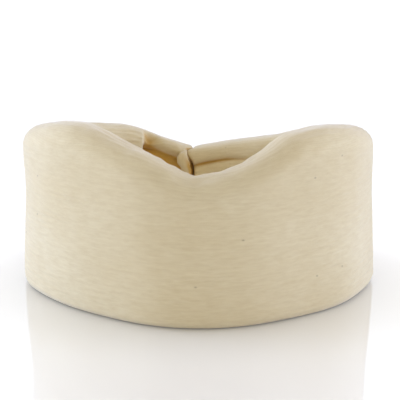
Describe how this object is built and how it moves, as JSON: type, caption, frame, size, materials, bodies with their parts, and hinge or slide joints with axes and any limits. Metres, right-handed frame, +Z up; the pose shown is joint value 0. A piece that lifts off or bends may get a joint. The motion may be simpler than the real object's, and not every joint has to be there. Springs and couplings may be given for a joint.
{
  "type": "cervical collar",
  "caption": "Soft foam neck collar in a knitted sleeve, with a chin dip, a sewn closed band and a hook-and-loop strap at the nape.",
  "frame": {"origin": "on the table under the middle of the collar's outer box (bottom centre)", "axes": "+Z up as worn, -Y towards the chin dip (front), +X the wearer's left"},
  "size_m": [0.18, 0.1718, 0.0855],
  "materials": {
    "foam": "open-cell polyurethane foam, matte",
    "stockinette": "knitted unbleached cotton, matte, slightly fuzzy",
    "thread": "cotton-wrapped sewing thread",
    "loop_pile": "brushed loop pile",
    "webbing": "flat woven tape, matte",
    "hook_tape": "nylon hook tape, slightly shiny"
  },
  "bodies": {
    "collar_body": {"foam_core_main": "foam", "stockinette_cover_main": "stockinette", "end_seam_main": "stockinette", "end_seam_thread_main": "thread", "loop_pad": "loop_pile", "loop_pad_thread": "thread"},
    "right_wing": {"foam_core_wing": "foam", "stockinette_cover_wing": "stockinette", "end_seam_wing": "stockinette", "end_seam_thread_wing": "thread", "strap_anchor": "webbing", "strap_anchor_thread": "thread"},
    "strap": {"strap_tape": "webbing", "hook_tape": "hook_tape", "hook_tape_thread": "thread", "pull_tab": "webbing"}
  },
  "joints": [
    {"name": "wing_flex", "type": "hinge", "parent": "collar_body", "child": "right_wing", "pos_m": [0.06706, -0.04816, 0.04], "axis": [0, 0, -1], "range_deg": [0, 45], "stiffness_Nm_per_rad": 0.02},
    {"name": "strap_peel", "type": "hinge", "parent": "right_wing", "child": "strap", "pos_m": [-0.00023, 0.08346, 0.026], "axis": [0, 0, -1], "range_deg": [0, 120]}
  ]
}
